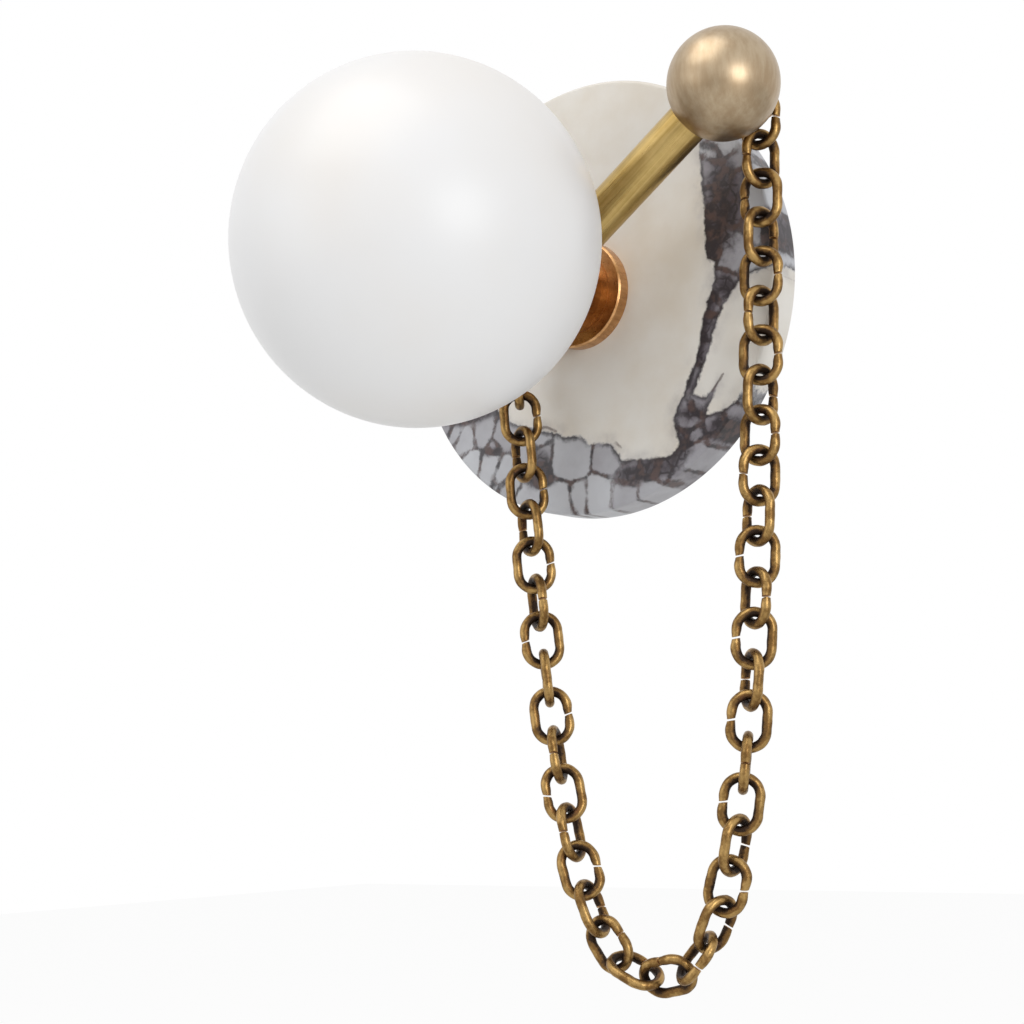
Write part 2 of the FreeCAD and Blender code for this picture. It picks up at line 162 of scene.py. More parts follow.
class Finish:
    """A material while it is being written: its nodes, and short ways to add more of them."""

    def __init__(self, name):
        self.material = bpy.data.materials.new(name)
        self.material.use_nodes = True
        self.tree = self.material.node_tree
        self.shader = self.tree.nodes["Principled BSDF"]
        self.place = self.node("ShaderNodeTexCoord", {}, {}, "Object")

    def node(self, kind, settings, values, output=0):
        """Any node: its type, its settings, then values or links for its sockets."""
        made = self.tree.nodes.new(kind)
        for key, value in settings.items():
            setattr(made, key, value)
        for key, value in values.items():
            self.feed(made.inputs[key], value)
        return Signal(self, made.outputs[output])

    def feed(self, socket, value):
        if isinstance(value, Signal):
            self.tree.links.new(value.socket, socket)
        elif socket.type == "RGBA" and len(value) == 3:
            socket.default_value = (*value, 1)
        else:
            socket.default_value = value

    def set(self, **values):
        """Feeds the surface shader: base_color goes to Base Color, and so on."""
        for key, value in values.items():
            self.feed(self.shader.inputs[key.replace("_", " ").title()], value)

    def stretched(self, scale, turn=(0, 0, 0)):
        """The place on the object, turned and then stretched along each axis."""
        turned = self.node("ShaderNodeMapping", {}, {"Vector": self.place, "Rotation": turn})
        return self.node("ShaderNodeMapping", {}, {"Vector": turned, "Scale": scale})

    def noise(self, scale, detail=3, roughness=0.5, place=None, output="Fac"):
        values = {"Vector": place or self.place, "Scale": scale, "Detail": detail,
                  "Roughness": roughness}
        return self.node("ShaderNodeTexNoise", {}, values, output)

    def warped(self, scale, reach):
        """The place pushed about by a noise of the given scale, up to reach metres each way."""
        push = self.noise(scale, 4, output="Color")
        centred = self.node("ShaderNodeVectorMath", {"operation": "SUBTRACT"}, {0: push, 1: (0.5,) * 3})
        values = {0: centred, 1: (2 * reach,) * 3, 2: self.place}
        return self.node("ShaderNodeVectorMath", {"operation": "MULTIPLY_ADD"}, values)

    def cells(self, scale, feature, place):
        """The distance to a cell's edge or to its middle, as the feature says."""
        values = {"Vector": place, "Scale": scale}
        return self.node("ShaderNodeTexVoronoi", {"feature": feature}, values, "Distance")

    def mix(self, share, first, second):
        """From the first colour to the second, as share goes from 0 to 1."""
        return self.node("ShaderNodeMix", {"data_type": "RGBA"}, {0: share, 6: first, 7: second}, 2)

    def attribute(self, name):
        """A number that the mesh stores at each point."""
        return self.node("ShaderNodeAttribute", {"attribute_name": name}, {}, "Fac")

    def bump(self, height, depth):
        """A normal from a height between 0 and 1 that stands depth metres tall."""
        return self.node("ShaderNodeBump", {}, {"Height": height, "Distance": depth, "Strength": 1.0})


def linear(red, green, blue):
    """A colour read from a screen, 0 to 255, as the linear values that shaders use."""
    screen = np.array([red, green, blue]) / 255
    return tuple(np.where(screen <= 0.04045, screen / 12.92, ((screen + 0.055) / 1.055) ** 2.4))


# %% [markdown]
# ## The room
# The lamp was photographed against plain white, so the world is white to the eye and to
# reflections, but only a gentle fill to the surfaces themselves. The floor is a pale plane under the
# chain that keeps its soft shadow. Lighting the whole room up to white would wash out the stone.

# %% The white world
FLOOR_DROP = 0.16
FLOOR_SIZE = 6.0
FILL_LIGHT = 0.66
FLOOR_WHITE = 0.92

world = bpy.data.worlds.new("studio")
bpy.context.scene.world = world
world.use_nodes = True
world_tree = world.node_tree
background = world_tree.nodes["Background"]
background.inputs["Color"].default_value = (1, 1, 1, 1)
paths = world_tree.nodes.new("ShaderNodeLightPath")
seen = paths.outputs["Is Camera Ray"]
for kind in ("Is Glossy Ray", "Is Transmission Ray"):
    either = world_tree.nodes.new("ShaderNodeMath")
    either.operation = "MAXIMUM"
    world_tree.links.new(seen, either.inputs[0])
    world_tree.links.new(paths.outputs[kind], either.inputs[1])
    seen = either.outputs[0]
strength = world_tree.nodes.new("ShaderNodeMapRange")
strength.inputs["To Min"].default_value = FILL_LIGHT
strength.inputs["To Max"].default_value = 1.0
world_tree.links.new(seen, strength.inputs["Value"])
world_tree.links.new(strength.outputs[0], background.inputs["Strength"])

# %% The floor
floor_height = cad_box[0][2] - FLOOR_DROP
floor_mesh = bpy.data.meshes.new("floor")
half = FLOOR_SIZE / 2
floor_mesh.from_pydata([(-half, -half, floor_height), (half, -half, floor_height),
                        (half, half, floor_height), (-half, half, floor_height)], [], [(0, 1, 2, 3)])
floor = bpy.data.objects.new("floor", floor_mesh)
bpy.context.scene.collection.objects.link(floor)
ground_paint = Finish("pale_floor")
ground_paint.set(base_color=(0.86, 0.86, 0.85), roughness=0.8)
glow = ground_paint.node("ShaderNodeEmission", {}, {"Color": (1, 1, 1), "Strength": 1.0})
direct = ground_paint.node("ShaderNodeLightPath", {}, {}, "Is Camera Ray")
shown = ground_paint.node("ShaderNodeMixShader", {}, {0: direct * FLOOR_WHITE})
ground_tree = ground_paint.tree
ground_tree.links.new(ground_paint.shader.outputs[0], shown.socket.node.inputs[1])
ground_tree.links.new(glow.socket, shown.socket.node.inputs[2])
ground_tree.links.new(shown.socket, ground_tree.nodes["Material Output"].inputs["Surface"])
floor_mesh.materials.append(ground_paint.material)
print("floor at", round(floor_height, 3))

# %% [markdown]
# ## The lights
# A wide softbox hangs high on the left, which gives the globe its bright shoulder, a smaller one
# stands to the camera's right, and a weak, cool one far to the left lifts the disc's shaded side.
# Each is placed by a direction in the camera's own terms, right, up and back towards the camera,
# because that is how the highlights are read from a picture.

# %% Soft lights
LAMP_CENTRE = Vector((0.03, -0.07, 0.0))


def softbox(name, right, up, back, size, power, tint=(1, 1, 1)):
    """A square area light, so many metres right, up and back of the lamp, that faces it."""
    light = bpy.data.lights.new(name, "AREA")
    light.size = size
    light.energy = power
    light.color = tint
    shown = bpy.data.objects.new(name, light)
    bpy.context.scene.collection.objects.link(shown)
    shown.location = LAMP_CENTRE + view_right * right + view_up * up - look * back
    aim = (LAMP_CENTRE - shown.location).to_track_quat("-Z", "Y")
    shown.rotation_euler = aim.to_euler()


softbox("key", -0.55, 1.10, 0.30, 1.10, 7.5, (1.0, 0.99, 0.975))
softbox("front", 0.55, 0.22, 1.10, 0.60, 4.4)
softbox("left", -1.30, 0.10, 0.45, 0.9, 1.6, (0.96, 0.98, 1.0))
print("softboxes", len(bpy.data.lights))

# %% [markdown]
# ## Surfaces as functions of two parameters
# Nearly every piece here is turned, blown or bent wire, so its surface is a grid: one parameter
# runs along a profile or a path, the other goes round it. The grids are worked out with numpy as
# whole arrays, and put into a mesh in one call. Modifiers could do some of it, but a formula keeps
# each radius where it can be read.

# %% From a grid of points to a piece
SHARP_ANGLE = math.radians(42)
WELD = 1e-7


def grid_faces(rows, columns):
    """Four corners per face of a grid of points whose columns close on themselves."""
    row, column = np.meshgrid(np.arange(rows - 1), np.arange(columns), indexing="ij")
    next_row = row + 1
    next_column = (column + 1) % columns
    corners = (row * columns + column, row * columns + next_column,
               next_row * columns + next_column, next_row * columns + column)
    return np.stack(corners, -1).reshape(-1, 4)


def make_piece(name, grid, finish, replaced, attributes=None):
    """One object from a grid of points, shape (rows, columns, 3), that stands for one CAD node.

    Points that meet, such as a pole's, are welded, so that every seam is closed.
    """
    mesh = bpy.data.meshes.new(name)
    mesh.from_pydata(grid.reshape(-1, 3).tolist(), [], grid_faces(*grid.shape[:2]).tolist())
    for key, values in (attributes or {}).items():
        layer = mesh.attributes.new(key, "FLOAT", "POINT")
        layer.data.foreach_set("value", values.ravel().astype(np.float32))
    shape = bmesh.new()
    shape.from_mesh(mesh)
    bmesh.ops.remove_doubles(shape, verts=shape.verts, dist=WELD)
    bmesh.ops.recalc_face_normals(shape, faces=shape.faces)
    shape.to_mesh(mesh)
    shape.free()
    mesh.shade_smooth()
    mesh.set_sharp_from_angle(angle=SHARP_ANGLE)
    mesh.materials.append(finish.material)
    piece = bpy.data.objects.new(name, mesh)
    bpy.context.scene.collection.objects.link(piece)
    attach(piece, frame["nodes"][replaced]["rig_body"])
    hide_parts(replaced)
    print(name, "faces", len(mesh.polygons))


# %% Rounded profiles and turned surfaces
def rounded(corners, radius, steps=5, closed=True):
    """A profile with each corner rounded: an arc touches the two sides that meet there.

    corners are (radius, offset) pairs, and radius is one number or one per corner; 0 keeps it sharp.
    """
    corners = np.array(corners, float)
    radii = np.broadcast_to(radius, len(corners))
    points = []
    for index, corner in enumerate(corners):
        if radii[index] == 0 or (not closed and index in (0, len(corners) - 1)):
            points.append(corner)
            continue
        back = corners[index - 1] - corner
        ahead = corners[(index + 1) % len(corners)] - corner
        back /= np.linalg.norm(back)
        ahead /= np.linalg.norm(ahead)
        half_angle = math.acos(np.clip(back @ ahead, -1, 1)) / 2
        middle = (back + ahead) / np.linalg.norm(back + ahead)
        centre = corner + middle * radii[index] / math.sin(half_angle)
        start = corner + back * radii[index] / math.tan(half_angle) - centre
        end = corner + ahead * radii[index] / math.tan(half_angle) - centre
        for share in np.linspace(0, 1, steps + 1):
            spoke = start * (1 - share) + end * share
            points.append(centre + spoke * radii[index] / np.linalg.norm(spoke))
    return np.array(points)


def spun(profile, start, direction, around):
    """A profile of (radius, distance) points, in metres, turned about a line."""
    direction = np.array(direction) / np.linalg.norm(direction)
    helper = np.array([0, 0, 1.0]) if abs(direction[2]) < 0.9 else np.array([1.0, 0, 0])
    side = np.cross(direction, helper)
    side /= np.linalg.norm(side)
    other = np.cross(direction, side)
    angle = np.linspace(0, 2 * math.pi, around, endpoint=False)[None, :, None]
    radius = profile[:, 0][:, None, None]
    along = profile[:, 1][:, None, None] * direction
    return np.array(start) + along + radius * (np.cos(angle) * side + np.sin(angle) * other)


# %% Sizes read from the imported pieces
OUT = (0, -1, 0)
WALL_CENTRE = (0, 0, 0)


def off_wall(node):
    """The least and greatest distance from the wall that a node reaches, in metres."""
    low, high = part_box(node)
    return -high.y, -low.y


def radius_of(node):
    """Half the width of a round node that faces the room."""
    low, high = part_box(node)
    return (high.x - low.x) / 2


def node_points(node):
    """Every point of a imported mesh, as rows of x, y and z."""
    vertices = frame["nodes"][node].data.vertices
    points = np.empty(3 * len(vertices), np.float32)
    vertices.foreach_get("co", points)
    return points.reshape(-1, 3).astype(float)


print("disc radius", round(radius_of("marble_backplate"), 4), "globe radius", round(radius_of("globe"), 4))

# %% [markdown]
# ## The marble
# The stone is cream and almost plain at its centre. Down the right side, and round the bottom, it is
# broken: pale stones lie packed in dark, purple-black seams. Pure noise would scatter them anywhere,
# so the broken zone is drawn as an outline on the disc and each large stone is placed one by one. Every
# point of the mesh stores how deep it lies in the zone, how far it is from a seam, and how gloomy the
# stone is there, and the shader frays those distances with noise.

# %% Where the stone is broken
# The outline's corners as (right, up) on the disc's face, in mm, from the top down the plain side
ZONE = ((64.5, 90), (65, 56), (65, 38), (66, 20), (66, 4), (69.5, 1), (70, -6), (66, -14), (63, -22),
        (60.5, -33), (57.5, -41), (53.5, -48), (51, -55), (48, -59), (45.5, -64), (46.5, -69),
        (47.5, -75), (45, -79), (30, -79), (18, -78), (13, -70), (5, -68), (0, -68), (-4, -64),
        (-14, -63), (-19, -60), (-30, -57), (-44, -52), (-54, -43), (-70, -38), (-86, -36),
        (-104, -30), (-112, -70), (-60, -112), (40, -112), (84, -84),
        (98, -50), (86, -52), (78, -60), (70, -64), (63, -64), (70, -50), (63, -56), (57, -54), (61, -46),
        (65, -38), (69, -28), (74, -18), (84, -8), (98, -6), (112, 0), (104, 40), (96, 70), (80, 92))
# (right, up, size, paleness from 0 to 1) of the large stones, in mm
STONES = ((-11, -73, 9.5, 0.72), (11, -76, 7, 0.52), (-18, -92, 8, 0.8), (-8, -91, 5, 0.78),
          (5, -91, 6.5, 0.8), (18, -93, 6, 0.55), (32, -95, 5, 0.58), (20, -86, 5, 0.3),
          (40, -86, 3, 0.35), (33, -84, 2.5, 0.25), (47, -91, 3.5, 0.4), (58, -82, 7, 0.5),
          (66, -78, 3.5, 0.35), (53, -65, 5, 0.32), (59, -60, 2.5, 0.35), (50, -72, 3, 0.3),
          (56, -73, 3.5, 0.4), (-26, -70, 4.5, 0.45), (-28, -62, 3.5, 0.6), (-27, -78, 3.5, 0.25),
          (-36, -66, 5, 0.6), (-36, -88, 6, 0.7), (-44, -80, 5, 0.6), (-38, -78, 3, 0.4),
          (-62, -54, 6, 0.55), (-72, -55, 6, 0.65), (-78, -52, 4, 0.6), (-58, -70, 6, 0.7),
          (-68, -68, 5, 0.8), (-50, -58, 5, 0.5), (-84, -49, 3, 0.4), (-50, -74, 5, 0.7),
          (-55, -62, 3, 0.4), (-90, -38, 5, 0.6), (-74, -42, 6, 0.5), (70, 42, 5, 0.35),
          (79, 53, 6, 0.95), (73, 50, 3, 0.75), (77, 36, 3.5, 0.22), (69, 31, 3, 0.28),
          (74, 25, 3, 0.14), (70, 19, 3, 0.14), (82, 45, 3.5, 0.4), (80, 22, 4, 0.05), (84, 33, 4, 0.1),
          (70, 9, 3, 0.15), (82, 5, 7, 0.52), (91, 11, 5, 0.6), (94, 30, 8, 0.85), (98, 12, 4, 0.2),
          (74, -10, 4, 0.3), (91, -3, 5, 0.8), (88, 53, 4, 0.6), (96, 50, 5, 0.8), (72, 66, 6, 0.5),
          (84, 72, 7, 0.7), (67, -16, 2, 0.25), (64, -26, 2.5, 0.25), (61, -36, 2.2, 0.25),
          (56, -46, 2, 0.25), (68, -70, 4, 0.3), (76, -68, 3.5, 0.3), (72, -75, 3, 0.2),
          (86, -58, 5, 0.7))
# (right, up, reach right, reach up, depth) of the gloomy parts, in mm
GLOOM = ((76, 28, 11, 27, 1.0), (68, 12, 5, 12, 1.0), (75, -10, 7, 7, .7), (-27, -75, 6, 10, .8),
         (-28, -82, 10, 3.5, .9), (36, -84, 16, 6, .9), (20, -86, 10, 6, .5), (50, -75, 7, 7, .8),
         (55, -62, 9, 5, .8), (72, -72, 12, 7, 1.0), (62, -92, 14, 5, .9), (-70, -45, 20, 5, 1.0),
         (-57, -64, 6, 3, .8), (98, 10, 6, 12, .9), (67, -18, 4, 8, .9), (63, -28, 3.5, 9, .8),
         (60, -37, 3.2, 7, .8), (55, -47, 3.2, 7, .8))
# Thin veins that run out of the zone into the plain stone
HAIRS = (((84, 2), (92, -4), (100, -9)), ((12, -69), (15, -70), (18, -73)),
         ((-30, -57), (-24, -57), (-18, -60)), ((66, -55), (72, -48)),
         ((-60, -10), (-78, 8), (-96, 14)), ((-20, 60), (-38, 74), (-52, 84)))
print("large stones", len(STONES), "gloomy parts", len(GLOOM))


# %% Distances to the outline and the stones
def segment_distance(place, start, end):
    """From each place to the nearest point of a straight stretch."""
    start = np.array(start, float)
    run = np.array(end, float) - start
    share = np.clip(((place - start) @ run) / (run @ run), 0, 1)
    return np.linalg.norm(place - start - share[..., None] * run, axis=-1)


def path_distance(place, points):
    """From each place to the nearest point of a line with corners."""
    return np.min([segment_distance(place, a, b) for a, b in zip(points, points[1:])], axis=0)


def zone_depth(place):
    """How deep each place lies inside the zone's outline, in mm, and below zero outside it.

    A place is inside when a line from it to the right crosses the outline an odd number of times.
    """
    outline = np.array(ZONE + ZONE[:1], float)
    inside = np.zeros(place.shape[:-1], bool)
    for (x0, z0), (x1, z1) in zip(outline, outline[1:]):
        spans = (z0 > place[..., 1]) != (z1 > place[..., 1])
        crossing = x0 + (place[..., 1] - z0) * (x1 - x0) / (z1 - z0 if z1 != z0 else 1.0)
        inside ^= spans & (place[..., 0] < crossing)
    return path_distance(place, outline) * np.where(inside, 1, -1)


def stone_fields(place):
    """Half the difference between the two nearest stones' rims, and the nearest one's paleness."""
    stones = np.array(STONES)
    rims = np.linalg.norm(place[..., None, :] - stones[:, :2], axis=-1) - stones[:, 2]
    order = np.sort(rims, axis=-1)
    return (order[..., 1] - order[..., 0]) / 2, stones[rims.argmin(-1), 3]


GLOOM_FALL = 1.3


def gloom_depth(place):
    """The sum of soft round blots: each falls from its depth like a bell curve over its reach."""
    total = np.zeros(place.shape[:-1])
    for right, up, reach_right, reach_up, depth in GLOOM:
        spread = ((place[..., 0] - right) / reach_right) ** 2 + ((place[..., 1] - up) / reach_up) ** 2
        total += depth * np.exp(-GLOOM_FALL * spread)
    return total


# %% [markdown]
# The finish reads the stored fields. Noise at two scales frays the distances, so that a drawn line
# turns into a jagged one with islands, and the seams widen where the stone is gloomy. The fraying is
# counted in millimetres, like the distances. The stone is then painted in layers: plain ground,
# stones, smoke, chips, seams, the outline's dark line, thin veins and a few flecks.

# %% Marble colours and fields
marble = Finish("honed_marble")
CREAM = linear(222, 219, 213)
WARM_CREAM = linear(211, 203, 190)
PALE_STONE = linear(190, 192, 197)
GREY_STONE = linear(124, 118, 125)
SMOKE = linear(68, 59, 67)
INK = linear(34, 26, 31)
RUST = linear(78, 58, 54)
FRAY = 6.0
SPLINTER = 2.6

wander = marble.warped(38, 0.0035)
fray = (marble.noise(170, 6, 0.66) - 0.5) * FRAY
splinter = (marble.noise(620, 4, 0.62) - 0.5) * SPLINTER
zone = marble.attribute("zone") + fray * 0.80 + splinter * 0.7
seam = marble.attribute("seam") + fray * 0.52 + splinter * 0.55
gloom = marble.attribute("gloom") + (marble.noise(120, 5, 0.65, wander) - 0.5) * 0.7
pale = marble.attribute("pale") + (marble.noise(95, 4, 0.6, wander) - 0.5) * 0.35
thread = marble.attribute("thread") + fray * 0.35 + splinter * 0.4
print("marble fields read by", len(marble.tree.nodes), "nodes")

# %% Marble layers
SEAM_WIDENING = 1.3
MARBLE_RELIEF = 0.04 * MM

inside = zone.step(-0.5, 0.9)
halo = zone.step(-7.0, 0.0) * marble.noise(60, 4, 0.6, wander).step(0.40, 0.75)
cloud = marble.noise(26, 5, 0.55, wander)
ground = marble.mix(cloud.step(0.3, 0.75), CREAM, WARM_CREAM)
ground = marble.mix(halo * 0.45, ground, GREY_STONE)
stone = marble.mix(pale.step(0.10, 0.95), GREY_STONE, PALE_STONE)
stone = marble.mix(gloom.step(0.10, 0.75) * 0.88, stone, SMOKE)
chips = marble.cells(210, "DISTANCE_TO_EDGE", marble.warped(150, 0.003))
blot = gloom.step(0.42, 0.95) * marble.noise(165, 5, 0.7).step(0.34, 0.56)
chip_line = (1 - chips.step(0.03, 0.22)) * gloom.step(0.25, 0.7)
stone = marble.mix(blot.at_least(chip_line) * 0.92, stone, INK)
seam_share = 1 - (seam - gloom * SEAM_WIDENING).step(0.10, 1.35)
seam_colour = marble.mix(marble.noise(260, 3).step(0.4, 0.62), INK, RUST)
stone = marble.mix(seam_share * marble.noise(70, 4, 0.6).step(0.30, 0.52) * 0.93, stone, seam_colour)
rim_line = inside * (1 - zone.step(0.6, 3.2)) * marble.noise(48, 4, 0.6).step(0.32, 0.52)
stone = marble.mix(rim_line * 0.92, stone, INK)
face_colour = marble.mix(inside, ground, stone)
threads = (1 - thread.step(0.15, 0.8)) * marble.noise(90, 3, 0.6).step(0.38, 0.56)
face_colour = marble.mix(threads * 0.7, face_colour, RUST)
flecks = 1 - marble.cells(420, "F1", marble.warped(300, 0.001)).step(0.05, 0.16)
rare = marble.noise(60, 2, 0.5).step(0.70, 0.80)
face_colour = marble.mix(flecks * rare * 0.45, face_colour, RUST)
pits = marble.noise(900, 3, 0.5) * 0.5 - seam_share * inside * 0.5
marble.set(base_color=face_colour, roughness=0.36 + marble.noise(300, 3) * 0.12, coat_weight=0.12,
           coat_roughness=0.18, normal=marble.bump(pits, MARBLE_RELIEF))
print("marble nodes", len(marble.tree.nodes))

# %% [markdown]
# The disc itself is a flat turning with a softly rounded rim and a hollow back. Its face is a fine
# grid, only because the stored distances need points to sit on.

# %% The marble disc
FACE_RINGS = 150
DISC_AROUND = 480
RIM_ROUND = 1.5 * MM
BACK_ROUND = 0.4 * MM
RECESS_RADIUS = 56.0 * MM
RECESS_DEPTH = 8.5 * MM
NIPPLE_CLEARANCE = 0.3 * MM

disc_radius = radius_of("marble_backplate")
disc_front = off_wall("marble_backplate")[1]
bore = radius_of("centre_nipple") + NIPPLE_CLEARANCE
rim = rounded([(disc_radius - 2 * RIM_ROUND, disc_front), (disc_radius, disc_front), (disc_radius, 0),
               (disc_radius - 4 * RIM_ROUND, 0)], [0, RIM_ROUND, BACK_ROUND, 0], 8, closed=False)
face = np.stack([np.linspace(bore, disc_radius - 2 * RIM_ROUND, FACE_RINGS, endpoint=False),
                 np.full(FACE_RINGS, disc_front)], -1)
back = np.array([(RECESS_RADIUS, 0), (RECESS_RADIUS, RECESS_DEPTH), (bore, RECESS_DEPTH),
                 (bore, disc_front)])
disc_points = spun(np.concatenate([face, rim, back]), WALL_CENTRE, OUT, DISC_AROUND)
flat_place = disc_points[..., (0, 2)] / MM
seam_field, pale_field = stone_fields(flat_place)
thread_field = np.min([path_distance(flat_place, points) for points in HAIRS], axis=0)
make_piece("marble_disc", disc_points, marble, "marble_backplate", {
    "zone": zone_depth(flat_place), "seam": seam_field, "pale": pale_field,
    "gloom": gloom_depth(flat_place), "thread": thread_field})

# %% [markdown]
# ## The opal globe
# Satin opal glass is white all through, so it looks like a plain white body under a dull skin. A
# matt white with a rough, weak coat gives its broad, soft shine. The globe is one turned profile: the
# outer skin, the ground edge of its mouth, and the inner skin.

# %% Opal glass and the globe
GLASS_RELIEF = 0.04 * MM
opal = Finish("satin_opal_glass")
haze = opal.noise(9, 3, 0.5)
opal.set(base_color=opal.mix(haze.step(0.35, 0.7), linear(226, 226, 227), linear(224, 221, 218)),
         roughness=0.42 + opal.noise(40, 2) * 0.05, coat_weight=0.35, coat_roughness=0.30,
         normal=opal.bump(opal.noise(55, 2, 0.4), GLASS_RELIEF))

GLOBE_WALL = 3.0 * MM
GLOBE_RINGS = 96
GLOBE_AROUND = 160
MOUTH_STEPS = 5
MOUTH_BULGE = 0.4 * MM
globe_low, globe_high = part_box("globe")
globe_radius = radius_of("globe")
globe_centre = -globe_low.y - globe_radius
mouth_depth = -globe_high.y - globe_centre
outer_mouth = math.asin(math.sqrt(globe_radius ** 2 - mouth_depth ** 2) / globe_radius)
inner_radius = globe_radius - GLOBE_WALL
inner_mouth = math.asin(globe_radius * math.sin(outer_mouth) / inner_radius)


def ball_profile(radius, first, last, count):
    """A round profile: the angle runs from the far pole, and the radius is its sine."""
    angle = np.linspace(first, last, count)
    return np.stack([radius * np.sin(angle), globe_centre + radius * np.cos(angle)], -1)


outer = ball_profile(globe_radius, 0, math.pi - outer_mouth, GLOBE_RINGS)
inner = ball_profile(inner_radius, math.pi - inner_mouth, 0, GLOBE_RINGS)
edge_share = np.linspace(0, 1, MOUTH_STEPS + 2)[1:-1, None]
bulge = np.sin(edge_share * math.pi) * np.array([[-MOUTH_BULGE, 0]])
edge = outer[-1] * (1 - edge_share) + inner[0] * edge_share + bulge
globe_points = spun(np.concatenate([outer, edge, inner]), WALL_CENTRE, OUT, GLOBE_AROUND)
make_piece("opal_globe", globe_points, opal, "globe")

# %% [markdown]
# ## The metals
# Six finishes share one recipe and differ in colour and in the direction of their marks. Brushing is
# noise that is stretched along the brush's path: along the arm's tube, and up and down the ball. The
# tube's finish is turned to the arm's slope, which is read from where the ball lies.

# %% Brushed metals
SATIN_MARKS = 0.02 * MM
FAINT_MARKS = 0.012 * MM


def brushed(name, light, shade, stretch, roughness, turn=(0, 0, 0), marks=SATIN_MARKS, spread=0.10):
    """A satin metal: streaks along one direction, cloudy tarnish and a fine bump."""
    metal = Finish(name)
    along = metal.stretched(stretch, turn)
    streaks = metal.noise(1.0, 5, 0.65, along)
    fine = metal.noise(3.1, 3, 0.6, along)
    tarnish = metal.noise(55, 4, 0.6)
    tone = (streaks * 0.55 + tarnish * 0.45).step(0.34, 0.66)
    metal.set(base_color=metal.mix(tone, shade, light), metallic=1.0,
              roughness=roughness + (fine - 0.5) * spread * 2,
              normal=metal.bump(streaks * 0.5 + fine * 0.5, marks))
    return metal


arm_low, arm_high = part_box("arm_tube")
ball_low, ball_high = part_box("arm_ball")
ball_centre = np.array([(ball_low.x + ball_high.x) / 2, ball_low.y + (ball_high.x - ball_low.x) / 2,
                        (ball_low.z + ball_high.z) / 2])
arm_slope = math.atan2(ball_centre[2], ball_centre[0])
arm_line = np.array([math.cos(arm_slope), 0, math.sin(arm_slope)])
arm_offset = -ball_centre[1]
arm_start = np.array([0, -arm_offset, 0])
print("arm slope", round(math.degrees(arm_slope), 2), "ball centre", ball_centre.round(4))

tube_brass = brushed("satin_brass_tube", linear(204, 176, 116), linear(166, 138, 80),
                     (14, 520, 520), 0.30, turn=(0, arm_slope, 0))
turned_brass = brushed("turned_brass", linear(190, 146, 98), linear(150, 110, 68),
                       (600, 40, 600), 0.32)
champagne = brushed("champagne_ball", linear(184, 166, 140), linear(164, 142, 114),
                    (300, 300, 50), 0.36, marks=FAINT_MARKS, spread=0.05)
zinc = brushed("zinc_plate", (0.62, 0.62, 0.60), (0.45, 0.45, 0.44), (200, 60, 200), 0.38)
spring_steel = brushed("spring_steel", (0.55, 0.56, 0.58), (0.38, 0.39, 0.41), (300, 300, 60), 0.3)
boss_brown = brushed("boss_bronze", linear(214, 168, 118), linear(178, 130, 84), (500, 60, 500), 0.30)

# %% [markdown]
# ## The arm and its ball
# The tube is a turning about the arm's own line, and the ball a full sphere with a small flat at
# the back, where the chain's stud stands. Both read the arm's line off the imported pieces.

# %% The arm's tube
TUBE_AROUND = 96
TUBE_WALL = 1.5 * MM
EDGE_ROUND = 0.35 * MM


def reach_along(node):
    """The stations along the arm's line that a node's points lie between, in metres."""
    stations = (node_points(node) - arm_start) @ arm_line
    return stations.min(), stations.max()


tube_first, tube_last = reach_along("arm_tube")
tube_radius = (arm_high.y - arm_low.y) / 2
tube_profile = rounded([(tube_radius - TUBE_WALL, tube_first), (tube_radius, tube_first),
                        (tube_radius, tube_last), (tube_radius - TUBE_WALL, tube_last)], EDGE_ROUND)
tube_points = spun(np.concatenate([tube_profile, tube_profile[:1]]), arm_start, arm_line, TUBE_AROUND)
make_piece("satin_arm", tube_points, tube_brass, "arm_tube")

# %% The ball
BALL_RINGS = 96
BALL_AROUND = 128
FLAT_RINGS = (0.96, 0.6, 0)
ball_radius = (ball_high.x - ball_low.x) / 2
flat_depth = -ball_high.y
flat_angle = math.acos((arm_offset - flat_depth) / ball_radius)


def ball_grid():
    """A sphere about the line out of the wall, cut off at the flat's plane and closed by rings."""
    angle = np.linspace(0, math.pi - flat_angle, BALL_RINGS)
    skin = np.stack([ball_radius * np.sin(angle), ball_radius * np.cos(angle)], -1)
    flat = np.array([(skin[-1, 0] * share, skin[-1, 1]) for share in FLAT_RINGS])
    return spun(np.concatenate([skin, flat]), ball_centre, OUT, BALL_AROUND)


make_piece("champagne_ball", ball_grid(), champagne, "arm_ball")

# %% The end cap
cap_first, cap_last = reach_along("arm_end_cap")
cap_profile = rounded([(0, cap_first), (tube_radius, cap_first), (tube_radius, tube_first),
                       (tube_radius - TUBE_WALL, tube_first), (tube_radius - TUBE_WALL, cap_last),
                       (0, cap_last)], [0, 3 * EDGE_ROUND, 0, 0, EDGE_ROUND, 0])
make_piece("arm_cap", spun(cap_profile, arm_start, arm_line, TUBE_AROUND), turned_brass, "arm_end_cap")

# %% [markdown]
# ## Boss and hub
# The boss against the marble is a shallow turned dish: a bright bevelled rim, a brown face and a
# sunk step. The bevel is what catches the light as a thin line in the picture. The hub behind the
# globe is a turned block with a cross bore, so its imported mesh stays, with a turned finish.

